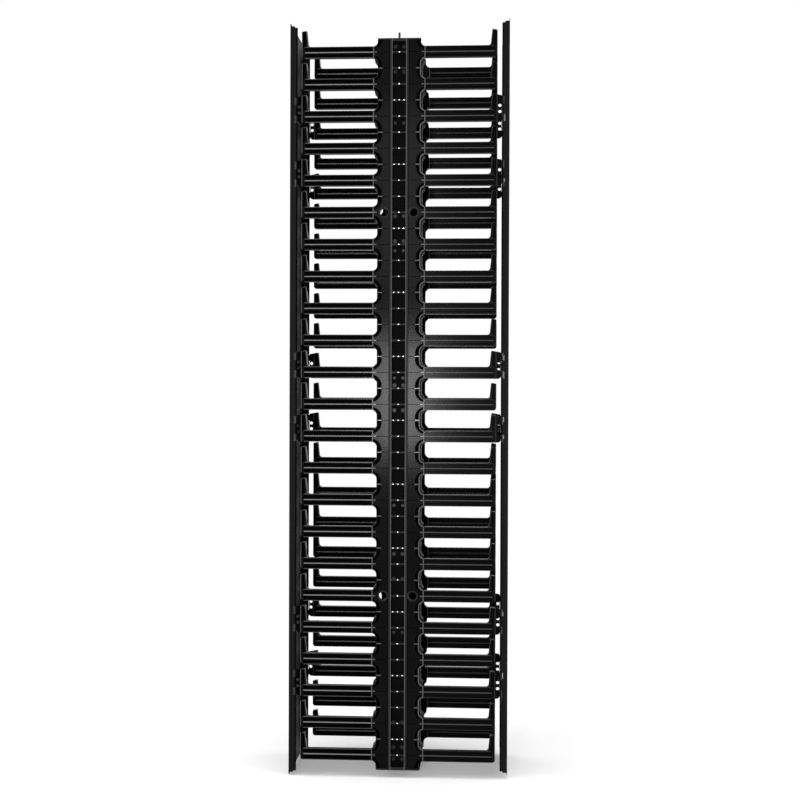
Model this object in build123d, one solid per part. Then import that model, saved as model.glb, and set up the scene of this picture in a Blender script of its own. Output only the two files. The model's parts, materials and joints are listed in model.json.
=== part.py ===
from build123d import *
import os

# Vertical cable manager. +Z is up, X runs through the depth from door to door, Y across the width.
# The origin is on the floor, under the middle of the spine. All sizes are in millimetres.

# Rack spacing and overall size
rack_unit = 44.45
finger_pitch = 2 * rack_unit
finger_count = 23
module_fingers = 8
width = 304.8
depth = 612.0
low_finger_z = 64.0
spine_below = 42.0
spine_above = 38.5

# Fingers and their upturned tips
finger_thick = 14.0
finger_height = 32.0
finger_root = 70.0
finger_web = 5.0
finger_flange = 3.0
finger_rib = 3.0
finger_round = 8.0
pocket_margin = 3.0
pocket_end = 9.0
tip_foot = 19.0
tip_head = 14.5
tip_top = 61.0
tip_slope = 0.17
tip_rim = 2.4
door_room = 21.7
wide_step = 12.3
wide_web = 6.0
wide_positions = (3, 5)
wide_hole_inset = 5.5
wide_hole_radius = 4.6
wide_hole_heights = (11.5, 28.4)

# Spine panels of the combs
gap_edge = 20.0
edge_strip = 8.0
edge_step = 2.5
panel_inset = 1.0
panel_skin = 3.0
panel_wall = 3.0
lip_edge = 60.0
lip_level = 8.5
lip_round = 14.0
rim_wall = 2.5
rim_drop = 1.5
flat_edge = 47.0
flat_round = 30.0
flat_spread = 9.0
groove = 1.0
cap_thick = 4.0

# Steel rails, perforated webs and ladder strips behind the combs
sheet = 2.0
rail_reach = 54.0
rail_drop = 12.0
rail_foot = 12.0
hole_radius = 2.5
hole_columns = (-13.0, 0.0, 13.0)
ladder_thick = 2.5
ladder_bar = 4.0
ladder_side = 6.5
ladder_slit = 2.5

# Cross rungs, beam and foot
rung_count = 5
rung_height = 100.0
rung_tab = 18.0
beam_height = 40.0
beam_width = 60.0
beam_wall = 3.0
foot_length = 116.0
foot_width = 120.0
foot_thick = 6.0
riser_length = 70.0
riser_width = 90.0
anchor_x = 90.0
anchor_y = 96.0
anchor_radius = 6.0

# Bushes for bolting to the racks on both sides
bush_x = 41.0
bush_fingers = (6, 18)
bush_radius = 15.0
bolt_radius = 11.5
bush_wall = 3.0

# Screws, bolts and locating pins
screw_radius = 2.0
screw_head = 4.5
screw_head_high = 2.4
screw_x = 37.0
screw_depth = 8.0
screw_boss = 5.0
web_screw_pitch = 4 * finger_pitch
rung_bolt_radius = 3.0
rung_bolt_head = 5.5
rung_bolt_rise = 35.0
pin_radius = 3.0
pin_height = 16.0

# Doors, hinge rods and the clips that hold them
door_inset = 12.4
door_sheet = 1.5
door_over = 146.2
door_bottom = 6.0
left_door_settle = -4.0
right_door_settle = 4.5
flange_short = 7.0
relief_rise = 5.0
rod_radius = 3.0
rod_play = 0.3
curl_wall = 1.2
tip_play = 0.7
clip_jaw = 2.2
clip_mouth = 1.5
clip_short = 2.4
clip_height = 18.0
clip_heights = (-5.0, 44.5)
notch_play = 1.5

# Clearance of screws and bushes in their holes
hole_play = 0.1

# Worked-out levels
top_finger_z = low_finger_z + (finger_count - 1) * finger_pitch
spine_bottom = low_finger_z - spine_below
spine_top = top_finger_z + spine_above
comb_bottom = spine_bottom + cap_thick
comb_top = spine_top - cap_thick
half_width = width / 2
comb_back = half_width - finger_thick
comb_mid = half_width - finger_thick / 2
panel_face = half_width - panel_inset
panel_mid = half_width - lip_level
flange_inner = comb_back - sheet
foot_outer = comb_back - rail_drop
foot_inner = foot_outer - sheet
web_outer = foot_outer + sheet
ladder_back = panel_face - edge_step
ladder_reach = gap_edge + edge_strip - ladder_slit
door_face = depth / 2
door_width = width - 2 * door_inset
door_height = top_finger_z - low_finger_z + door_over
wide_reach = door_face - door_room
wide_hole_x = wide_reach - wide_hole_inset
tip_reach = wide_reach - wide_step
tip_inner_base = tip_reach - tip_foot
tip_inner_top = tip_reach - tip_head
curl_inner = rod_radius + rod_play
curl_outer = curl_inner + curl_wall
hinge_x = wide_reach + tip_play + curl_outer
hinge_y = (door_width - door_sheet) / 2
riser_top = spine_bottom
rung_span = comb_top - comb_bottom - beam_height
rung_step = (rung_span - rung_height) / (rung_count - 1)
rung_base = spine_bottom + cap_thick + beam_height


def block(x, y, z):
    centre = ((x[0] + x[1]) / 2, (y[0] + y[1]) / 2, (z[0] + z[1]) / 2)
    return Pos(*centre) * Box(x[1] - x[0], y[1] - y[0], z[1] - z[0])


def cross_cylinder(x, z, radius, y):
    return Pos(x, (y[0] + y[1]) / 2, z) * Rot(90, 0, 0) * Cylinder(radius, y[1] - y[0])


def upright_cylinder(x, y, radius, z):
    return Pos(x, y, (z[0] + z[1]) / 2) * Cylinder(radius, z[1] - z[0])


def side_plate(outline, y):
    return Pos(0, y[1], 0) * extrude(Plane.XZ * outline, amount=y[1] - y[0])


def quadrant(piece, x_sign, y_sign):
    if x_sign < 0:
        piece = mirror(piece, about=Plane.YZ)
    if y_sign < 0:
        piece = mirror(piece, about=Plane.XZ)
    return piece


def rounded(outline, corners):
    for x, z, radius in corners:
        outline = fillet(outline.vertices().sort_by_distance((x, z, 0))[0], radius)
    return outline


def finger_z(number):
    return low_finger_z + (finger_count - number) * finger_pitch


def is_wide(number):
    return (number - 1) % module_fingers + 1 in wide_positions


def wide_fingers():
    return [number for number in range(1, finger_count + 1) if is_wide(number)]


def module_span(module):
    first = module * module_fingers + 1
    last = min(first + module_fingers - 1, finger_count)
    high = comb_top if first == 1 else finger_z(first) + rack_unit
    low = comb_bottom if last == finger_count else finger_z(last) - rack_unit
    return range(first, last + 1), low, high


# Outline of one finger and its tip, seen along Y
def finger_outline(number):
    middle = finger_z(number)
    low = middle - finger_height / 2
    high = middle + finger_height / 2
    reach = wide_reach if is_wide(number) else tip_reach
    top = middle + tip_top
    outer_top = top - tip_slope * (reach - tip_inner_top)
    outline = make_face(Polyline(
        (finger_root, low), (reach, low), (reach, outer_top),
        (tip_inner_top, top), (tip_inner_base, high), (finger_root, high), close=True))
    return rounded(outline, [
        (reach, low, finger_round), (reach, outer_top, finger_round / 3),
        (tip_inner_top, top, finger_round / 3), (tip_inner_base, high, finger_round)])


# The hollows that leave a finger with flanges, a middle rib and a rimmed tip
def finger_hollows(number):
    middle = finger_z(number)
    pocket_depth = (finger_thick - finger_web) / 2
    along = (finger_root + pocket_margin, tip_reach - pocket_end)
    tip_along = (tip_inner_top + tip_rim, tip_reach - tip_rim)
    tip_up = (middle + finger_height / 2, middle + tip_top - 2 * tip_rim)
    rises = ((finger_rib / 2, finger_height / 2 - finger_flange),
             (finger_flange - finger_height / 2, -finger_rib / 2))
    hollows = []
    for y in ((half_width - pocket_depth, half_width), (comb_back, comb_back + pocket_depth)):
        hollows += [block(along, y, (middle + low, middle + high)) for low, high in rises]
        hollows.append(block(tip_along, y, tip_up))
    if is_wide(number):
        strip = (finger_thick - wide_web) / 2
        tall = (middle - finger_height, middle + tip_top)
        for y in ((half_width - strip, half_width), (comb_back, comb_back + strip)):
            hollows.append(block((tip_reach, wide_reach), y, tall))
        for height in wide_hole_heights:
            hollows.append(cross_cylinder(wide_hole_x, middle + height, wide_hole_radius,
                                          (comb_back, half_width)))
    return hollows


# Rounded throats between neighbouring fingers, at the lip or at the raised flat
def throats(numbers, edge, radius, spread):
    far_edge = tip_inner_base
    tall = finger_pitch - finger_height + 2 * spread
    openings = []
    for number in list(numbers) + [numbers[-1] + 1]:
        middle = finger_z(number) + rack_unit
        openings.append(Pos((edge + far_edge) / 2, middle)
                        * RectangleRounded(far_edge - edge, tall, radius))
    return openings


def panel_outline(low, high):
    middle = Pos((gap_edge + finger_root) / 2, (low + high) / 2)
    return middle * Rectangle(finger_root - gap_edge, high - low)


def comb_screw_heights(low, high):
    return (low + rack_unit, (low + high) / 2, high - rack_unit)


def bush_heights():
    return [finger_z(number) for number in bush_fingers]


# One moulded comb: spine panel, a sunk lip with a raised rim around each throat, and its fingers
def comb(module):
    numbers, low, high = module_span(module)
    panel = panel_outline(low, high)
    lip = panel - throats(numbers, lip_edge, lip_round, 0)
    flat = panel - throats(numbers, flat_edge, flat_round, flat_spread)
    rim = lip - (panel - throats(numbers, lip_edge - rim_wall, lip_round + rim_wall, rim_wall))
    body = side_plate(lip, (comb_back, panel_mid)) + side_plate(flat, (panel_mid, panel_face))
    body += [side_plate(face, (panel_mid, panel_face - rim_drop)) for face in rim.faces()]
    body += [side_plate(finger_outline(number), (comb_back, half_width)) for number in numbers]

    hollow = block((gap_edge + edge_strip + panel_wall, flat_edge - panel_wall),
                   (comb_back, panel_face - panel_skin), (low + panel_wall, high - panel_wall))
    bushes = [z for z in bush_heights() if low < z < high]
    screws = comb_screw_heights(low, high)
    hollow -= [cross_cylinder(bush_x, z, bush_radius + bush_wall, (comb_back, panel_face)) for z in bushes]
    hollow -= [cross_cylinder(screw_x, z, screw_boss, (comb_back, panel_face)) for z in screws]

    cuts = [hollow]
    cuts.append(block((gap_edge, gap_edge + edge_strip), (panel_face - edge_step, panel_face), (low, high)))
    cuts += [cross_cylinder(bush_x, z, bush_radius + hole_play, (comb_back, half_width)) for z in bushes]
    cuts += [cross_cylinder(screw_x, z, screw_radius + hole_play, (comb_back, comb_back + screw_depth))
             for z in screws]
    for number in numbers:
        cuts += finger_hollows(number)
        for height in (finger_z(number), finger_z(number) - rack_unit):
            cuts.append(block((gap_edge, finger_root), (panel_face - groove, panel_face),
                              (height - groove / 2, height + groove / 2)))
    return body - cuts


# Folded rail behind one column of combs: a flange under the panels, a wall and an inner foot
def rail():
    z = (comb_bottom, comb_top)
    body = block((gap_edge - sheet, rail_reach), (flange_inner, comb_back), z)
    body += block((gap_edge - sheet, gap_edge), (foot_inner, comb_back), z)
    body += block((gap_edge - rail_foot, gap_edge), (foot_inner, foot_outer), z)
    through = (foot_inner, half_width)
    holes = [cross_cylinder(bush_x, height, bolt_radius, through) for height in bush_heights()]
    for module in range(module_count()):
        numbers, low, high = module_span(module)
        holes += [cross_cylinder(screw_x, height, screw_radius + hole_play, (foot_inner, half_width))
                  for height in comb_screw_heights(low, high)]
    holes += [cross_cylinder(web_screw_x(), height, screw_radius + hole_play, (foot_inner, half_width))
              for height in web_screw_heights()]
    holes += [cross_cylinder(rung_bolt_x(), height, rung_bolt_radius + hole_play, (foot_inner, half_width))
              for height in rung_bolt_heights()]
    return body - holes


def module_count():
    return -(-finger_count // module_fingers)


def web_screw_x():
    return gap_edge - sheet - rail_foot / 2


def web_screw_heights():
    count = int((comb_top - comb_bottom) // web_screw_pitch)
    return [comb_bottom + rack_unit / 2 + step * web_screw_pitch for step in range(count + 1)]


def rung_bolt_x():
    return gap_edge - sheet - rail_foot / 2


def rung_levels():
    return [rung_base + step * rung_step for step in range(rung_count)]


def rung_bolt_heights():
    middles = [level + rung_height / 2 for level in rung_levels()]
    return [middle + rise for middle in middles for rise in (-rung_bolt_rise, rung_bolt_rise)]


# Perforated web across the centre gap, screwed to the feet of two rails
def web():
    body = block((sheet - gap_edge, gap_edge - sheet), (foot_outer, web_outer), (comb_bottom, comb_top))
    rows = int((comb_top - comb_bottom) // rack_unit)
    holes = [cross_cylinder(x, comb_bottom + (row + 0.75) * rack_unit, hole_radius, (foot_outer, web_outer))
             for row in range(rows) for x in hole_columns]
    for x_sign in (-1, 1):
        holes += [cross_cylinder(x_sign * web_screw_x(), height, screw_radius + hole_play,
                                 (foot_outer, web_outer)) for height in web_screw_heights()]
        holes += [cross_cylinder(x_sign * rung_bolt_x(), height, rung_bolt_head + hole_play,
                                 (foot_outer, web_outer)) for height in rung_bolt_heights()]
    return body - holes


# Ladder strip with a cross bar every rack unit, laid on the sunk edges of the two combs of a side
def ladder():
    y = (ladder_back, ladder_back + ladder_thick)
    side = ladder_reach
    body = block((-side, side), y, (comb_bottom, comb_top))
    cells = int((comb_top - comb_bottom) // rack_unit)
    first = low_finger_z - rack_unit
    windows = []
    for cell in range(-1, cells + 1):
        low = max(first + cell * rack_unit + ladder_bar / 2, comb_bottom + ladder_bar)
        high = min(first + (cell + 1) * rack_unit - ladder_bar / 2, comb_top - ladder_bar)
        if high > low:
            windows.append(block((ladder_side - side, side - ladder_side), y, (low, high)))
    return body - windows


# Top or bottom edge cap across both combs of a side, and over the web
def edge_cap(low):
    body = block((-lip_edge, lip_edge), (foot_inner, panel_face), (low, low + cap_thick))
    corners = body.edges().filter_by(Axis.Z).sort_by(Axis.Y)[-2:]
    return fillet(corners, finger_round / 2)


# Folded cross rung between the near and far webs
def rung(level):
    z = (level, level + rung_height)
    x = (-gap_edge - rung_tab + rail_foot, gap_edge - rail_foot + rung_tab)
    body = block((-sheet / 2, sheet / 2), (-foot_inner, foot_inner), z)
    for y_sign in (-1, 1):
        tab = block((x[0], x[1]), (foot_inner - sheet, foot_inner), z)
        body += quadrant(tab, 1, y_sign)
    heights = [level + rung_height / 2 + rise for rise in (-rung_bolt_rise, rung_bolt_rise)]
    return body - [cross_cylinder(x_sign * rung_bolt_x(), height, rung_bolt_radius + hole_play,
                                  (-half_width, half_width)) for height in heights for x_sign in (-1, 1)]


# Square tube under the rungs, which rests on the foot and carries the webs
def base_beam():
    z = (spine_bottom, rung_base)
    x = (-beam_width / 2, beam_width / 2)
    body = block(x, (-foot_inner, foot_inner), z)
    bore = block((x[0] + beam_wall, x[1] - beam_wall), (-foot_inner, foot_inner),
                 (z[0] + beam_wall, z[1] - beam_wall))
    return body - bore


# Foot plate with anchor holes and a riser up to the beam
def base_foot():
    body = block((-foot_length / 2, foot_length / 2), (-foot_width / 2, foot_width / 2), (0, foot_thick))
    body += block((-riser_length / 2, riser_length / 2), (-riser_width / 2, riser_width / 2),
                  (foot_thick, riser_top))
    return body - [upright_cylinder(x * anchor_x / 2, y * anchor_y / 2, anchor_radius, (0, foot_thick))
                   for x in (-1, 1) for y in (-1, 1)]


# Steel bush that lines each rack bolt hole in the panels
def mount_bushes():
    y = (comb_back, half_width)
    return [cross_cylinder(x * bush_x, z, bush_radius, y) - cross_cylinder(x * bush_x, z, bolt_radius, y)
            for x in (-1, 1) for z in bush_heights()]


# A pan-head screw along Y with its head on the face at head_y and its shank towards tip_y
def screw(x, z, head_y, tip_y, shank, head):
    outward = 1 if head_y > tip_y else -1
    stem = cross_cylinder(x, z, shank, sorted((head_y, tip_y)))
    cap = cross_cylinder(x, z, head, sorted((head_y, head_y + outward * screw_head_high)))
    return stem + cap


def comb_screws():
    heights = [height for module in range(module_count())
               for height in comb_screw_heights(*module_span(module)[1:])]
    return [screw(x * screw_x, z, flange_inner, comb_back + screw_depth, screw_radius, screw_head)
            for x in (-1, 1) for z in heights]


def web_screws():
    return [screw(x * web_screw_x(), z, web_outer, foot_inner, screw_radius, screw_head)
            for x in (-1, 1) for z in web_screw_heights()]


def rung_bolts():
    return [screw(x * rung_bolt_x(), z, foot_outer, foot_inner - sheet, rung_bolt_radius, rung_bolt_head)
            for x in (-1, 1) for z in rung_bolt_heights()]


def top_pins():
    z = (spine_top, spine_top + pin_height)
    return [upright_cylinder(0, y * comb_mid, pin_radius, z) for y in (-1, 1)]


def clip_levels():
    return [finger_z(number) + height for number in wide_fingers() for height in clip_heights]


# Hooks on the ends of the wide tips, which hold a door's hinge rod
def hinge_clips():
    reach = hinge_x + clip_mouth
    half = curl_inner + clip_jaw
    clips = []
    for level in clip_levels():
        z = (level - clip_height / 2, level + clip_height / 2)
        jaws = block((wide_reach, hinge_x - clip_short), (hinge_y - half, hinge_y + half), z)
        jaws += block((wide_reach, reach), (hinge_y - half, hinge_y - curl_inner), z)
        clips.append(jaws - upright_cylinder(hinge_x, hinge_y, curl_inner, z))
    return clips


# Sheet door: a face, two flanges with bevelled ends and a curled edge for each rod, notched at the clips
def door(settle):
    low = door_bottom + settle
    high = low + door_height
    z = (low + flange_short, high - flange_short)
    half = door_width / 2
    body = block((door_face - door_sheet, door_face), (-half, half), (low, high))
    face_edges = body.edges().filter_by(Axis.X)
    body = fillet(face_edges, door_sheet)
    bevel = make_face(Polyline(
        (hinge_x, z[0] + relief_rise), (hinge_x + relief_rise, z[0]), (door_face, z[0]),
        (door_face, z[1]), (hinge_x + relief_rise, z[1]), (hinge_x, z[1] - relief_rise), close=True))
    notch = curl_outer + rod_play
    for y_sign in (-1, 1):
        flange = side_plate(bevel, (half - door_sheet, half))
        curl_z = (z[0] + relief_rise, z[1] - relief_rise)
        flange += upright_cylinder(hinge_x, hinge_y, curl_outer, curl_z)
        flange -= upright_cylinder(hinge_x, hinge_y, curl_inner, (low, high))
        for level in clip_levels():
            room = clip_height / 2 + notch_play
            flange -= upright_cylinder(hinge_x, hinge_y, notch, (level - room, level + room))
        body += quadrant(flange, 1, y_sign)
    return body


def hinge_rod(settle):
    low = door_bottom + settle + flange_short + relief_rise
    high = door_bottom + settle + door_height - flange_short - relief_rise
    return upright_cylinder(hinge_x, hinge_y, rod_radius, (low, high))


nodes = {}
sides = {"near": -1, "far": 1}
hands = {"left": -1, "right": 1}
settles = {"left": left_door_settle, "right": right_door_settle}
module_names = ("upper", "middle", "lower")

for module in range(module_count()):
    moulding = comb(module)
    name = module_names[module] if module < len(module_names) else f"extra_{module}"
    for side, y_sign in sides.items():
        for hand, x_sign in hands.items():
            nodes[f"{side}_{hand}_{name}_comb"] = quadrant(moulding, x_sign, y_sign)

for side, y_sign in sides.items():
    for hand, x_sign in hands.items():
        nodes[f"{side}_{hand}_rail"] = quadrant(rail(), x_sign, y_sign)
        nodes[f"{side}_{hand}_hinge_clips"] = [quadrant(clip, x_sign, y_sign) for clip in hinge_clips()]
        nodes[f"{hand}_door_{side}_rod"] = quadrant(hinge_rod(settles[hand]), x_sign, y_sign)
    nodes[f"{side}_web"] = quadrant(web(), 1, y_sign)
    nodes[f"{side}_ladder_strip"] = quadrant(ladder(), 1, y_sign)
    nodes[f"{side}_top_cap"] = quadrant(edge_cap(comb_top), 1, y_sign)
    nodes[f"{side}_bottom_cap"] = quadrant(edge_cap(spine_bottom), 1, y_sign)
    nodes[f"{side}_mount_bushes"] = [quadrant(bush, 1, y_sign) for bush in mount_bushes()]
    nodes[f"{side}_comb_screws"] = [quadrant(one, 1, y_sign) for one in comb_screws()]
    nodes[f"{side}_web_screws"] = [quadrant(one, 1, y_sign) for one in web_screws()]
    nodes[f"{side}_rung_bolts"] = [quadrant(one, 1, y_sign) for one in rung_bolts()]

for hand, x_sign in hands.items():
    nodes[f"{hand}_door"] = quadrant(door(settles[hand]), x_sign, 1)

for number, level in enumerate(rung_levels(), start=1):
    nodes[f"cross_rung_{number}"] = rung(level)

nodes["base_beam"] = base_beam()
nodes["base_foot"] = base_foot()
nodes["top_pins"] = top_pins()

os.makedirs("parts", exist_ok=True)
for name, piece in nodes.items():
    shape = Compound(children=piece) if isinstance(piece, list) else piece
    export_step(shape, f"parts/{name}.step")
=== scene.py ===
import bpy
import bmesh
import json
import math
from mathutils import Matrix, Vector


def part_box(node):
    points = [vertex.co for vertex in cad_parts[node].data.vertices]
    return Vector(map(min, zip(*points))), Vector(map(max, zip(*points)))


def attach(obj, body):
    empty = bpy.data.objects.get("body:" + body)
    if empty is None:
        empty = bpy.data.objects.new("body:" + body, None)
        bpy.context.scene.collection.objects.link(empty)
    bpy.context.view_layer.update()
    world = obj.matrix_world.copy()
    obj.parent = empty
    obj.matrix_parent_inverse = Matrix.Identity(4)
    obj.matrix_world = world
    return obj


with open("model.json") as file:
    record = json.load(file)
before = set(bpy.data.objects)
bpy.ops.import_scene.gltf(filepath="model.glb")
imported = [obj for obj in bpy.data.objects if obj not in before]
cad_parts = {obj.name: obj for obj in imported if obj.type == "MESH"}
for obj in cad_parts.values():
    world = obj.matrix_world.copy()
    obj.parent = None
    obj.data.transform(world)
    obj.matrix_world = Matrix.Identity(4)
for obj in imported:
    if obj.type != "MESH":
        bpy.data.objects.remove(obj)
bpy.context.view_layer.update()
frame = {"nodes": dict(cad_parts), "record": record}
nodes = frame["nodes"]
mm = 0.001
print("frame loaded:", len(nodes), "nodes")


# Shader and geometry trees
class Wire:
    def __init__(self, graph, socket):
        self.graph = graph
        self.socket = socket

    def __add__(self, other):
        return self.graph.math("ADD", self, other)

    def __radd__(self, other):
        return self.graph.math("ADD", other, self)

    def __sub__(self, other):
        return self.graph.math("SUBTRACT", self, other)

    def __rsub__(self, other):
        return self.graph.math("SUBTRACT", other, self)

    def __mul__(self, other):
        return self.graph.math("MULTIPLY", self, other)


class Graph:
    def __init__(self, tree):
        self.tree = tree

    # Adds one node: its settings first, then its sockets, and gives back the output asked for
    def node(self, kind, settings=None, sockets=None, out=0):
        made = self.tree.nodes.new(kind)
        for name, value in (settings or {}).items():
            if name == "stops":
                self.setStops(made.color_ramp, value)
            else:
                setattr(made, name, value)
        for name, value in (sockets or {}).items():
            if isinstance(value, Wire):
                self.tree.links.new(value.socket, made.inputs[name])
            else:
                made.inputs[name].default_value = value
        return Wire(self, made.outputs[out]) if made.outputs else made

    def setStops(self, ramp, stops):
        while len(ramp.elements) < len(stops):
            ramp.elements.new(0.5)
        for element, (place, shade) in zip(ramp.elements, stops):
            element.position = place
            element.color = (shade, shade, shade, 1)

    def math(self, operation, first, second=0.0):
        return self.node("ShaderNodeMath", {"operation": operation}, {0: first, 1: second})

    def axes(self, place):
        split = self.tree.nodes.new("ShaderNodeSeparateXYZ")
        self.tree.links.new(place.socket, split.inputs[0])
        return [Wire(self, split.outputs[axis]) for axis in "XYZ"]


def newMaterial(name):
    material = bpy.data.materials.new(name)
    material.use_nodes = True
    material.node_tree.nodes.clear()
    return material, Graph(material.node_tree)


def closeMaterial(graph, sockets):
    shader = graph.node("ShaderNodeBsdfPrincipled", None, sockets)
    graph.node("ShaderNodeOutputMaterial", None, {"Surface": shader})


def grey(value, tint=0.0):
    return (value, value, value * (1 + tint), 1)


def between(graph, value, low, high, soft):
    up = graph.node("ShaderNodeMapRange", {"interpolation_type": "SMOOTHSTEP"},
                    {"Value": value, "From Min": low - soft, "From Max": low + soft})
    down = graph.node("ShaderNodeMapRange", {"interpolation_type": "SMOOTHSTEP"},
                      {"Value": value, "From Min": high - soft, "From Max": high + soft})
    return up * (1 - down)


# Masks over a comb: the first is painted shade, 1 in the pockets and grooves; the second is painted
# highlight lines, 1 along the ribs and weaker at the edges, tip outlines and roots.
# Each finger has a face with marked ribs and a plainer one, where the painted shade and highlights are
# weaker. The right combs are the left ones turned round.
def combMasks(graph, place, look):
    x, y, z = graph.axes(place)

    def band(value, low, high):
        return between(graph, value, look[low], look[high], look["bandSoft"])

    out = graph.math("ABSOLUTE", x)
    outer = graph.math("ABSOLUTE", y) - look["sunkMiddle"]
    deep = graph.node("ShaderNodeMapRange", {"interpolation_type": "SMOOTHSTEP"},
                      {"Value": look["sunkHalf"] - graph.math("ABSOLUTE", outer),
                       "From Min": look["sunkFrom"], "From Max": look["sunkTo"]})
    ribbed = graph.math("GREATER_THAN", x * y * outer)
    smooth = graph.math("GREATER_THAN", out, look["fingerFrom"]) * (1 - ribbed)
    upright = z - look["fingerZ"]
    toFinger = graph.math("PINGPONG", upright, look["fingerPitch"] / 2)
    toGroove = graph.math("PINGPONG", upright, look["fingerPitch"] / 4)
    above = graph.math("FLOORED_MODULO", upright, look["fingerPitch"])
    groove = (1 - band(toGroove, "grooveHalf", "fingerPitch")) * band(out, "grooveFrom", "grooveTo")
    groove = groove * look["grooveShade"]
    along = band(out, "fingerFrom", "fingerTo")
    rib = (1 - band(toFinger, "ribHalf", "fingerPitch")) * along
    edge = band(toFinger, "edgeFrom", "edgeTo") * along
    root = band(out, "rootFrom", "rootTo") * (1 - band(toFinger, "edgeTo", "fingerPitch"))
    tipEnd = band(out, "tipFrom", "tipTo")
    tipBack = band(out - above * look["tipLean"], "backFrom", "backTo") * band(above, "edgeTo", "tipTop")
    tipTop = band(above, "topFrom", "tipTop") * band(out, "backFrom", "tipTo")
    outline = graph.math("MAXIMUM", tipEnd + tipBack, tipTop)
    # Painted highlight lines: along each finger's rib, at its edges, around the tip and at the root, weaker
    # on the plainer face; the trim also gets one along its inner edge
    paintedHighlight = graph.math("MAXIMUM", rib, (edge + outline) * look["edgeHighlight"] + root * look["rootHighlight"])
    paintedHighlight = paintedHighlight * (1 - smooth * look["plainHighlightCut"]) + band(out, "innerFrom", "innerTo") * look["innerHighlight"]
    # Painted shade: 1 on surfaces more than about 3 to 4 mm below the comb's faces and along the groove
    # lines, less on the plainer face
    sunk = graph.math("MAXIMUM", deep * (1 - smooth * look["plainShadeCut"]), groove)
    return sunk, paintedHighlight * (1 - sunk)


noiseMiddle = 0.5  # a noise swings about this value


# Satin moulded plastic: fine grain, cloudy tone, faint rubbed patches, painted highlight lines and painted
# shade in the hollows
def mouldedPlastic(name, look):
    material, graph = newMaterial(name)
    place = graph.node("ShaderNodeTexCoord", None, None, "Object")
    cloud = graph.node("ShaderNodeTexNoise", None,
                       {"Vector": place, "Scale": look["cloudScale"], "Detail": 3.0, "Roughness": 0.55})
    grain = graph.node("ShaderNodeTexNoise", None,
                       {"Vector": place, "Scale": look["grainScale"], "Detail": 2.0, "Roughness": 0.6})
    speck = graph.node("ShaderNodeTexVoronoi", {"feature": "F1"},
                       {"Vector": place, "Scale": look["speckScale"]})
    rubbed = graph.node("ShaderNodeValToRGB", {"stops": look["rubStops"]}, {"Fac": cloud})
    tone = graph.node("ShaderNodeMix", {"data_type": "RGBA"},
                      {"Factor": grain * look["grainTone"] + cloud * look["cloudTone"],
                       "A": look["dark"], "B": look["light"]}, 2)
    tone = graph.node("ShaderNodeMix", {"data_type": "RGBA"},
                      {"Factor": rubbed * look["rubDepth"], "A": tone, "B": look["rubbed"]}, 2)
    sunk, paintedHighlight = combMasks(graph, place, look)
    # The light colour goes on as painted highlight lines
    tone = graph.node("ShaderNodeMix", {"data_type": "RGBA"},
                      {"Factor": paintedHighlight, "A": tone, "B": look["paintedHighlight"]}, 2)
    height = grain * look["grainHeight"] + speck * look["speckHeight"]
    bump = graph.node("ShaderNodeBump", None,
                      {"Height": height, "Strength": look["bump"], "Distance": look["bumpDepth"]})
    face = graph.node("ShaderNodeBsdfPrincipled", None, {
        "Base Color": tone, "Normal": bump, "Specular IOR Level": look["specular"],
        "Roughness": look["rough"] + (cloud - noiseMiddle) * look["roughVary"] + grain * look["grainRough"]})
    # Pockets and grooves get this near-black, dull surface as painted shade
    paintedShadeSurface = graph.node("ShaderNodeBsdfPrincipled", None, {
        "Base Color": look["sunk"], "Roughness": look["sunkRough"], "Normal": bump,
        "Specular IOR Level": look["sunkSpecular"]})
    both = graph.node("ShaderNodeMixShader", None, {"Fac": sunk, 1: face, 2: paintedShadeSurface})
    graph.node("ShaderNodeOutputMaterial", None, {"Surface": both})
    return material


# Powder coat on sheet steel: orange-peel skin with a little dust in the tone
def powderCoat(name, look):
    material, graph = newMaterial(name)
    place = graph.node("ShaderNodeTexCoord", None, None, "Object")
    peel = graph.node("ShaderNodeTexVoronoi", {"feature": "SMOOTH_F1"},
                      {"Vector": place, "Scale": look["peelScale"], "Smoothness": 0.8})
    drift = graph.node("ShaderNodeTexNoise", None,
                       {"Vector": place, "Scale": look["driftScale"], "Detail": 4.0, "Roughness": 0.5})
    fleck = graph.node("ShaderNodeTexNoise", None,
                       {"Vector": place, "Scale": look["fleckScale"], "Detail": 1.0})
    tone = graph.node("ShaderNodeMix", {"data_type": "RGBA"},
                      {"Factor": drift * look["driftTone"] + fleck * look["fleckTone"],
                       "A": look["dark"], "B": look["light"]}, 2)
    height = peel * look["peelHeight"] + fleck * look["fleckHeight"]
    bump = graph.node("ShaderNodeBump", None,
                      {"Height": height, "Strength": look["bump"], "Distance": look["bumpDepth"]})
    skin = graph.node("ShaderNodeBsdfPrincipled", None, {
        "Base Color": tone, "Normal": bump, "Specular IOR Level": look["specular"],
        "Roughness": look["rough"] + (drift - noiseMiddle) * look["roughVary"] + peel * look["peelRough"]})
    # Painted shade: a near-black, rough band along the door's folded hinge edge
    if "foldFrom" in look:
        across = graph.math("ABSOLUTE", graph.axes(place)[0])
        fold = between(graph, across, look["foldFrom"], look["foldTo"], look["foldSoft"])
        foldShade = graph.node("ShaderNodeBsdfPrincipled", None, {
            "Base Color": look["foldShadeTone"], "Roughness": look["foldRough"],
            "Specular IOR Level": look["foldSpecular"]})
        skin = graph.node("ShaderNodeMixShader", None, {"Fac": fold, 1: skin, 2: foldShade})
    graph.node("ShaderNodeOutputMaterial", None, {"Surface": skin})
    return material


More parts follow.
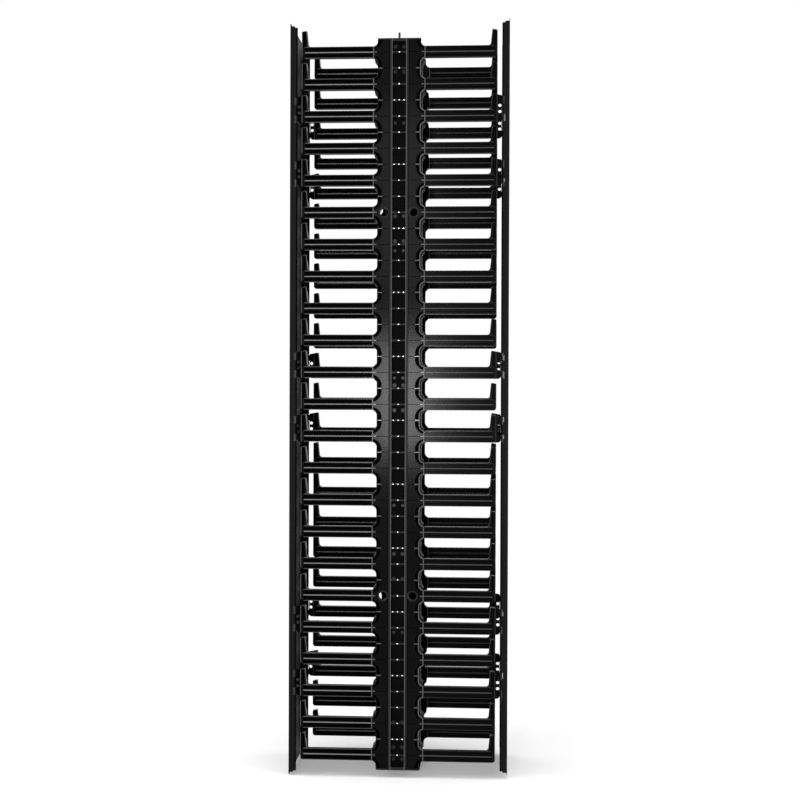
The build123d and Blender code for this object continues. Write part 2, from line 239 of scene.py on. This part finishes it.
# Drawn or plated steel: streaks along one axis and a dull bloom
def drawnSteel(name, look):
    material, graph = newMaterial(name)
    place = graph.node("ShaderNodeTexCoord", None, None, "Object")
    stretched = graph.node("ShaderNodeMapping", None, {"Vector": place, "Scale": look["stretch"]})
    streak = graph.node("ShaderNodeTexNoise", None,
                        {"Vector": stretched, "Scale": look["streakScale"], "Detail": 3.0})
    bloom = graph.node("ShaderNodeTexNoise", None,
                       {"Vector": place, "Scale": look["bloomScale"], "Detail": 3.0})
    tone = graph.node("ShaderNodeMix", {"data_type": "RGBA"},
                      {"Factor": streak * look["streakTone"] + bloom * look["bloomTone"],
                       "A": look["dark"], "B": look["light"]}, 2)
    bump = graph.node("ShaderNodeBump", None,
                      {"Height": streak, "Strength": look["bump"], "Distance": look["bumpDepth"]})
    closeMaterial(graph, {
        "Base Color": tone, "Roughness": look["rough"] + (bloom - noiseMiddle) * look["roughVary"],
        "Metallic": look["metal"] + bloom * look["bloomMetal"], "Normal": bump})
    return material


# Each comb look holds a light colour for the painted highlight lines and a near-black colour, roughness and
# shine for the painted shade
combLook = {"dark": grey(0.0015), "light": grey(0.0035, 0.04), "rubbed": grey(0.007), "rubDepth": 0.35,
            "paintedHighlight": grey(0.16, 0.02), "fingerZ": 64 * mm, "fingerPitch": 88.9 * mm, "ribHalf": 1.6 * mm,
            "edgeFrom": 14.6 * mm, "edgeTo": 16.4 * mm, "edgeHighlight": 0.5, "fingerFrom": 73 * mm,
            "fingerTo": 263 * mm, "bandSoft": 0.25 * mm, "rootFrom": 70.2 * mm, "rootTo": 72.6 * mm,
            "rootHighlight": 0.6, "tipFrom": 270.2 * mm, "tipTo": 272.3 * mm, "tipLean": 0.12,
            "backFrom": 250.2 * mm, "backTo": 252.6 * mm, "tipTop": 61.2 * mm, "topFrom": 58.9 * mm,
            "plainHighlightCut": 0.7, "plainShadeCut": 0.6, "grooveHalf": 0.8 * mm, "grooveFrom": 28 * mm,
            "grooveTo": 62 * mm, "grooveShade": 0.9, "innerFrom": 18 * mm, "innerTo": 20.8 * mm,
            "innerHighlight": 0.0, "grainTone": 0.5, "cloudTone": 0.5, "grainHeight": 0.7, "speckHeight": 0.3,
            "sunk": grey(0.0008), "sunkRough": 0.5, "sunkSpecular": 0.01, "sunkMiddle": 145.4 * mm,
            "sunkHalf": 7 * mm, "sunkFrom": 2.6 * mm, "sunkTo": 4.2 * mm,
            "rubStops": ((0.55, 0.0), (0.8, 1.0)), "cloudScale": 9.0, "grainScale": 520.0,
            "speckScale": 900.0, "bump": 0.1, "bumpDepth": 0.0001, "rough": 0.12, "roughVary": 0.06,
            "grainRough": 0.04, "specular": 0.04}
# The trim gets a painted highlight line along its inner edge
trimLook = dict(combLook, dark=grey(0.012), light=grey(0.026, 0.03), rough=0.3, cloudScale=14.0,
                sunk=grey(0.008), sunkSpecular=0.05, grooveShade=0.0, innerHighlight=0.45)
clipLook = dict(combLook, rough=0.26, cloudScale=30.0, sunk=grey(0.009), sunkSpecular=0.05)
# A lighter copy of the comb plastic that stands for painted highlight lines on beads and small ribs
highlightLook = dict(combLook, dark=grey(0.07), light=grey(0.11, 0.03), rough=0.14, specular=0.15,
                sunk=grey(0.02), sunkSpecular=0.05, grooveShade=0.0)
funnelLook = dict(combLook, dark=grey(0.006), light=grey(0.012, 0.03), rough=0.5, specular=0.15)
doorLook = {"dark": grey(0.003), "light": grey(0.0065, 0.05), "peelScale": 420.0, "driftScale": 5.0,
            "fleckScale": 1400.0, "bump": 0.3, "bumpDepth": 0.0003, "rough": 0.46, "roughVary": 0.12,
            "driftTone": 0.7, "fleckTone": 0.3, "peelHeight": 0.6, "fleckHeight": 0.4, "peelRough": 0.05,
            "specular": 0.06}
# A painted shade band along the folded hinge edge of the doors
doorFoldShade = {"foldFrom": 284.2 * mm, "foldTo": 288.9 * mm, "foldSoft": 0.4 * mm, "foldShadeTone": grey(0.0008),
            "foldRough": 0.7, "foldSpecular": 0.04}
frameLook = dict(doorLook, dark=grey(0.0015), light=grey(0.004, 0.03), driftScale=11.0, rough=0.55,
                 specular=0.03)
bushLook = dict(doorLook, dark=grey(0.01), light=grey(0.022, 0.03), driftScale=40.0, rough=0.38)
rodLook = {"dark": grey(0.02), "light": grey(0.06, 0.03), "stretch": (1, 1, 0.02), "streakScale": 600.0,
           "bloomScale": 25.0, "bump": 0.15, "bumpDepth": 0.0001, "rough": 0.38, "roughVary": 0.15,
           "streakTone": 0.6, "bloomTone": 0.4, "bloomMetal": 0.05, "metal": 0.9}
zincLook = dict(rodLook, dark=grey(0.01), light=grey(0.03, 0.04), stretch=(1, 1, 1), streakScale=240.0,
                bloomScale=60.0, rough=0.4)

materials = {
    "comb_plastic": mouldedPlastic("combPlastic", combLook),
    "trim_plastic": mouldedPlastic("trimPlastic", trimLook),
    "clip_plastic": mouldedPlastic("clipPlastic", clipLook),
    "door_paint": powderCoat("doorPaint", dict(doorLook, **doorFoldShade)),
    "frame_paint": powderCoat("framePaint", frameLook),
    "bush_paint": powderCoat("bushPaint", bushLook),
    "rod_steel": drawnSteel("rodSteel", rodLook),
    "fastener_steel": drawnSteel("zincSteel", zincLook),
}
highlightPlastic = mouldedPlastic("highlightPlastic", highlightLook)
funnelPlastic = mouldedPlastic("funnelPlastic", funnelLook)
rivetPlate = drawnSteel("rivetPlate", dict(zincLook, dark=grey(0.7), light=grey(0.85), rough=0.25))

for subpart in frame["record"]["subparts"]:
    mesh = nodes[subpart["node"]].data
    mesh.materials.clear()
    mesh.materials.append(materials[subpart["material_slot"]])


# Copies of what comes in, one above the other, as real faces of one material
def closeRows(graph, given, shape):
    step = graph.node("ShaderNodeCombineXYZ", None, {"Z": given["rowPitch"]})
    rows = graph.node("GeometryNodeMeshLine", {"mode": "OFFSET"},
                      {"Count": given["rowCount"], "Offset": step})
    placed = graph.node("GeometryNodeInstanceOnPoints", None, {"Points": rows, "Instance": shape})
    real = graph.node("GeometryNodeRealizeInstances", None, {"Geometry": placed})
    shown = graph.node("GeometryNodeSetMaterial", None,
                       {"Geometry": real, "Material": given["rowMaterial"]})
    graph.node("NodeGroupOutput", None, {"Geometry": shown})


def openTree(name, sizes):
    tree = bpy.data.node_groups.new(name, "GeometryNodeTree")
    face = tree.interface
    face.new_socket("Geometry", in_out="INPUT", socket_type="NodeSocketGeometry")
    for label, kind in sizes:
        face.new_socket(label, in_out="INPUT", socket_type=kind)
    face.new_socket("Geometry", in_out="OUTPUT", socket_type="NodeSocketGeometry")
    graph = Graph(tree)
    entry = tree.nodes.new("NodeGroupInput")
    return tree, graph, {socket.name: Wire(graph, socket) for socket in entry.outputs}


rowSizes = (("rowCount", "NodeSocketInt"), ("rowPitch", "NodeSocketFloat"),
            ("rowMaterial", "NodeSocketMaterial"))


# A round bead along a line of edges, repeated up the spine
def beadTree():
    tree, graph, given = openTree("repeatedBead", (("beadRadius", "NodeSocketFloat"),
                                                   ("beadSides", "NodeSocketInt")) + rowSizes)
    line = graph.node("GeometryNodeMeshToCurve", None, {"Mesh": given["Geometry"]})
    ring = graph.node("GeometryNodeCurvePrimitiveCircle", {"mode": "RADIUS"},
                      {"Resolution": given["beadSides"], "Radius": given["beadRadius"]})
    bead = graph.node("GeometryNodeCurveToMesh", None,
                      {"Curve": line, "Profile Curve": ring, "Fill Caps": True})
    closeRows(graph, given, bead)
    return tree


# A plate that is already a closed mesh, repeated up the spine
def plateTree():
    tree, graph, given = openTree("repeatedPlate", rowSizes)
    closeRows(graph, given, given["Geometry"])
    return tree


repeatedBead = beadTree()
repeatedPlate = plateTree()


# Runs a tree on a mesh and leaves a plain mesh that rides on the frame
def repeatedPiece(name, mesh, tree, sizes, smooth=True):
    maker = bpy.data.objects.new(name + "Maker", mesh)
    bpy.context.scene.collection.objects.link(maker)
    modifier = maker.modifiers.new("rows", "NODES")
    modifier.node_group = tree
    names = {item.name: item.identifier for item in tree.interface.items_tree if item.in_out == "INPUT"}
    for label, value in sizes.items():
        modifier[names[label]] = value
    depsgraph = bpy.context.evaluated_depsgraph_get()
    plain = bpy.data.meshes.new_from_object(maker.evaluated_get(depsgraph))
    bpy.data.objects.remove(maker)
    for polygon in plain.polygons:
        polygon.use_smooth = smooth
    piece = bpy.data.objects.new(name, plain)
    bpy.context.scene.collection.objects.link(piece)
    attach(piece, "frame")
    print(name, len(plain.polygons), "faces")


# Lines is a list of open lines of points
def lineMesh(name, lines):
    mesh = bpy.data.meshes.new(name + "Line")
    points, edges = [], []
    for line in lines:
        first = len(points)
        points += line
        edges += [(first + i, first + i + 1) for i in range(len(line) - 1)]
    mesh.from_pydata(points, edges, [])
    return mesh


# A closed plate between two rows of points on its front and two on its back
def plateMesh(name, outer, inner, outerBack, innerBack):
    mesh = bpy.data.meshes.new(name + "Plate")
    count = len(outer)
    rows = (outer, inner, innerBack, outerBack)
    faces = []
    for i in range(count - 1):
        for row in range(4):
            after = (row + 1) % 4
            faces.append((row * count + i, row * count + i + 1, after * count + i + 1, after * count + i))
    faces.append(tuple(row * count for row in range(4)))
    faces.append(tuple(row * count + count - 1 for row in (3, 2, 1, 0)))
    mesh.from_pydata([point for row in rows for point in row], [], faces)
    shell = bmesh.new()
    shell.from_mesh(mesh)
    bmesh.ops.recalc_face_normals(shell, faces=shell.faces)
    shell.to_mesh(mesh)
    shell.free()
    return mesh


# Comb sizes, from the frame and in metres
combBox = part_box("far_right_upper_comb")
outerY = combBox[1].y
combDims = {"pitch": 88.9 * mm, "count": 23, "lowFinger": 64 * mm, "fingerHeight": 32 * mm,
            "fingerThick": 14 * mm, "root": 70 * mm, "lipEdge": 60 * mm, "lipRound": 14 * mm,
            "rimWall": 2.5 * mm, "rimDrop": 1.5 * mm,
            "flatEdge": 47 * mm, "flatRound": 30 * mm, "flatSpread": 9 * mm, "flatInset": 1 * mm}
openTall = combDims["pitch"] - combDims["fingerHeight"]
firstThroat = combDims["lowFinger"] + combDims["pitch"] / 2
throatRows = {"rowCount": combDims["count"] - 1, "rowPitch": combDims["pitch"]}
fingerRows = {"rowCount": combDims["count"], "rowPitch": combDims["pitch"]}


# C-shaped contour of a throat, open towards the finger tips: two arcs that start at the finger root
def throatLine(sideX, y, edge, radius, tall, height, steps=8):
    opening = math.acos((combDims["root"] - edge - radius) / radius)
    points = []
    for step in range(steps + 1):
        angle = opening + (math.pi - opening) * step / steps
        across = edge + radius + radius * math.cos(angle)
        points.append((sideX * across, tall / 2 - radius + radius * math.sin(angle)))
    points += [(x, -up) for x, up in reversed(points)]
    return [(x, y, height + up) for x, up in points]


# Flat edge and rim of the throats, each with a rounded bead, and the funnel that leads cables inwards
throatLook = {"flatBead": 1.4 * mm, "flatSink": 0.6, "rimBead": 1.5 * mm, "sides": 8,
              "funnelFlare": 3.3 * mm, "funnelDepth": 43 * mm, "funnelWall": 1.8 * mm,
              "funnelGap": 0.2 * mm}


def throatPieces(column, signX, signY):
    flatY = signY * (outerY - combDims["flatInset"] - throatLook["flatSink"] * throatLook["flatBead"])
    rimY = signY * (outerY - combDims["flatInset"] - combDims["rimDrop"])
    rimMiddle = combDims["rimWall"] / 2
    flat = throatLine(signX, flatY, combDims["flatEdge"], combDims["flatRound"],
                      openTall + 2 * combDims["flatSpread"], firstThroat)
    rim = throatLine(signX, rimY, combDims["lipEdge"] - rimMiddle, combDims["lipRound"] + rimMiddle,
                     openTall + 2 * rimMiddle, firstThroat)
    bead = dict(throatRows, beadSides=throatLook["sides"], rowMaterial=materials["comb_plastic"])
    repeatedPiece(f"{column}_flat_edges", lineMesh(f"{column}Flat", [flat]), repeatedBead,
                  dict(bead, beadRadius=throatLook["flatBead"]))
    # On these columns the rim bead is in the lighter plastic, a painted highlight line
    turnedRound = signX * signY < 0  # these columns show a lighter rim
    rimMaterial = highlightPlastic if turnedRound else materials["comb_plastic"]
    repeatedPiece(f"{column}_throat_rims", lineMesh(f"{column}Rim", [rim]), repeatedBead,
                  dict(bead, beadRadius=throatLook["rimBead"], rowMaterial=rimMaterial))
    backY = outerY - combDims["fingerThick"] - throatLook["funnelGap"]
    wall, flare = throatLook["funnelWall"], throatLook["funnelFlare"]
    contours = []
    for shift, depth, extra in ((0, 0, 0), (flare, throatLook["funnelDepth"], 0),
                                (0, 0, wall), (flare, throatLook["funnelDepth"], wall)):
        tall = openTall - 2 * shift + 2 * extra
        contours.append(throatLine(signX, signY * (backY - depth), combDims["lipEdge"] + shift - extra,
                                   combDims["lipRound"] + extra, tall, firstThroat))
    mesh = plateMesh(f"{column}Funnel", *contours)
    repeatedPiece(f"{column}_throat_funnels", mesh, repeatedPlate,
                  dict(throatRows, rowMaterial=funnelPlastic))


# Small ribs on the combs: one bridges the groove half way between fingers, one leads into each finger; both
# are in the lighter plastic as painted highlight lines
ribLook = {"bridgeFrom": 46 * mm, "bridgeTo": 58.6 * mm, "neckFrom": 62 * mm, "neckTo": 70 * mm,
           "half": 1.2 * mm, "deep": 8 * mm}


def ribPieces(column, signX, signY):
    front, back = signY * outerY, signY * (outerY - ribLook["deep"])

    def rib(start, end, height):
        ends = [signX * ribLook[start], signX * ribLook[end]]
        edges = [(y, height + up * ribLook["half"]) for y in (front, back) for up in (1, -1)]
        return plateMesh(f"{column}{start}", *[[(x, y, z) for x in ends] for y, z in edges])

    rows = {"rowMaterial": highlightPlastic}
    repeatedPiece(f"{column}_groove_bridges", rib("bridgeFrom", "bridgeTo", firstThroat), repeatedPlate,
                  dict(rows, **throatRows), False)
    repeatedPiece(f"{column}_neck_ribs", rib("neckFrom", "neckTo", combDims["lowFinger"]), repeatedPlate,
                  dict(rows, **fingerRows), False)


# Plated rivet heads on the bars of the ladder strips: one to a bar, and two more on every fourth bar
rivetLook = {"radius": 1.7 * mm, "stretch": (1.5, 0.5, 1), "rings": 6, "segments": 10,
             "barPitch": 44.45 * mm, "bars": 45, "firstBar": 64 * mm, "pairPitch": 177.8 * mm, "pairs": 11,
             "pairFrom": 108.45 * mm, "pairX": 13.5 * mm}


def rivetTree():
    tree, graph, given = openTree("repeatedRivet", (("rivetRadius", "NodeSocketFloat"),
                                                    ("rivetStretch", "NodeSocketVector"),
                                                    ("rivetRings", "NodeSocketInt"),
                                                    ("rivetSegments", "NodeSocketInt")) + rowSizes)
    dome = graph.node("GeometryNodeMeshUVSphere", None,
                      {"Radius": given["rivetRadius"], "Rings": given["rivetRings"],
                       "Segments": given["rivetSegments"]})
    flat = graph.node("GeometryNodeTransform", None, {"Geometry": dome, "Scale": given["rivetStretch"]})
    heads = graph.node("GeometryNodeInstanceOnPoints", None,
                       {"Points": given["Geometry"], "Instance": flat})
    closeRows(graph, given, heads)
    return tree


repeatedRivet = rivetTree()


def rivetPieces(side, signY):
    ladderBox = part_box(f"{side}_ladder_strip")
    y = ladderBox[1].y if signY > 0 else ladderBox[0].y
    size = {"rivetRadius": rivetLook["radius"], "rivetStretch": rivetLook["stretch"],
            "rivetRings": rivetLook["rings"], "rivetSegments": rivetLook["segments"],
            "rowMaterial": rivetPlate}
    middle = lineMesh(f"{side}Rivet", [[(0, y, rivetLook["firstBar"])]])
    pairs = lineMesh(f"{side}RivetPair",
                     [[(x * rivetLook["pairX"], y, rivetLook["pairFrom"])] for x in (-1, 1)])
    repeatedPiece(f"{side}_bar_rivets", middle, repeatedRivet,
                  dict(size, rowCount=rivetLook["bars"], rowPitch=rivetLook["barPitch"]))
    repeatedPiece(f"{side}_pair_rivets", pairs, repeatedRivet,
                  dict(size, rowCount=rivetLook["pairs"], rowPitch=rivetLook["pairPitch"]))


for side, signY in (("near", -1), ("far", 1)):
    rivetPieces(side, signY)
    for hand, signX in (("left", -1), ("right", 1)):
        ribPieces(f"{side}_{hand}", signX, signY)
        throatPieces(f"{side}_{hand}", signX, signY)

# Camera, solved from the finger rows
cameraView = {"place": (0.27593, -4.3755, 1.0962), "yaw": 3.67, "pitch": -0.57, "roll": 0.19,
              "focalPixels": 1522.68, "framePixels": 800.0, "sensor": 36.0}


def makeCamera(look):
    data = bpy.data.cameras.new("photoCamera")
    data.sensor_width = look["sensor"]
    data.lens = look["focalPixels"] / look["framePixels"] * look["sensor"]
    camera = bpy.data.objects.new("photoCamera", data)
    bpy.context.scene.collection.objects.link(camera)
    turn = Matrix.Rotation(math.radians(look["yaw"]), 4, "Z")
    tip = Matrix.Rotation(math.radians(90 + look["pitch"]), 4, "X")
    lean = Matrix.Rotation(math.radians(look["roll"]), 4, "Z")
    camera.matrix_world = Matrix.Translation(look["place"]) @ turn @ tip @ lean
    bpy.context.scene.camera = camera


makeCamera(cameraView)

# White studio: pale floor, white surround for the eye, soft lamps
studio = {"floorSize": 60.0, "floorTone": (0.9, 0.9, 0.9, 1), "floorLift": 0.2, "fadeFrom": 0.7,
          "fadeTo": 2.2, "worldDim": 0.4}
lamps = {
    "overhead": {"place": (0.0, -0.4, 4.6), "aim": (0, 0, 1.0), "size": (3.0, 3.0), "power": 130},
    "leftWall": {"place": (-3.4, -1.4, 1.3), "aim": (0, 0, 1.1), "size": (1.0, 2.6), "power": 60},
    "rightWall": {"place": (3.4, -1.4, 1.3), "aim": (0, 0, 1.1), "size": (1.0, 2.6), "power": 45},
    "strip": {"place": (-0.25, -4.4, 1.04), "aim": (-0.05, 0, 1.07), "size": (0.32, 0.56), "power": 46},
    "upperStrip": {"place": (-0.25, -4.4, 2.15), "aim": (-0.05, 0, 1.6), "size": (0.32, 1.0), "power": 7},
}


def makeFloor(look):
    mesh = bpy.data.meshes.new("studioFloor")
    half = look["floorSize"] / 2
    corners = [(-half, -half, 0), (half, -half, 0), (half, half, 0), (-half, half, 0)]
    mesh.from_pydata(corners, [], [(0, 1, 2, 3)])
    floor = bpy.data.objects.new("studioFloor", mesh)
    bpy.context.scene.collection.objects.link(floor)
    material, graph = newMaterial("floorWhite")
    path = graph.tree.nodes.new("ShaderNodeLightPath")
    direct = Wire(graph, path.outputs["Is Camera Ray"])
    mirrored = Wire(graph, path.outputs["Is Glossy Ray"])
    seen = graph.node("ShaderNodeMath", {"operation": "ADD", "use_clamp": True}, {0: direct, 1: mirrored})
    matte = graph.node("ShaderNodeBsdfDiffuse", None, {"Color": look["floorTone"]})
    glow = graph.node("ShaderNodeEmission", None,
                      {"Color": (1, 1, 1, 1), "Strength": seen * look["floorLift"]})
    both = graph.node("ShaderNodeAddShader", None, {0: matte, 1: glow})
    place = graph.node("ShaderNodeTexCoord", None, None, "Object")
    away = graph.node("ShaderNodeVectorMath", {"operation": "LENGTH"}, {0: place}, "Value")
    fade = graph.node("ShaderNodeMapRange", {"interpolation_type": "SMOOTHSTEP"},
                      {"Value": away, "From Min": look["fadeFrom"], "From Max": look["fadeTo"]})
    white = graph.node("ShaderNodeEmission", None, {"Color": (1, 1, 1, 1), "Strength": 1.0})
    shown = graph.node("ShaderNodeMixShader", None, {"Fac": fade * seen, 1: both, 2: white})
    graph.node("ShaderNodeOutputMaterial", None, {"Surface": shown})
    mesh.materials.append(material)


def makeWorld(look):
    world = bpy.data.worlds.new("studioWorld")
    world.use_nodes = True
    world.node_tree.nodes.clear()
    graph = Graph(world.node_tree)
    path = graph.tree.nodes.new("ShaderNodeLightPath")
    direct = Wire(graph, path.outputs["Is Camera Ray"])
    mirrored = Wire(graph, path.outputs["Is Glossy Ray"])
    through = Wire(graph, path.outputs["Is Transmission Ray"])
    eye = graph.node("ShaderNodeMath", {"operation": "ADD", "use_clamp": True},
                     {0: direct + mirrored, 1: through})
    strength = eye + (1 - eye) * look["worldDim"]
    light = graph.node("ShaderNodeBackground", None, {"Color": (1, 1, 1, 1), "Strength": strength})
    graph.node("ShaderNodeOutputWorld", None, {"Surface": light})
    bpy.context.scene.world = world


def makeLamp(name, look):
    data = bpy.data.lights.new(name, "AREA")
    data.shape = "RECTANGLE"
    data.size, data.size_y = look["size"]
    data.energy = look["power"]
    lamp = bpy.data.objects.new(name, data)
    bpy.context.scene.collection.objects.link(lamp)
    lamp.location = look["place"]
    aim = Vector(look["aim"]) - Vector(look["place"])
    lamp.rotation_euler = aim.to_track_quat("-Z", "Y").to_euler()


makeFloor(studio)
makeWorld(studio)
for lampName, lampLook in lamps.items():
    makeLamp(lampName, lampLook)
bpy.context.scene.view_settings.view_transform = "Standard"
print("studio ready")
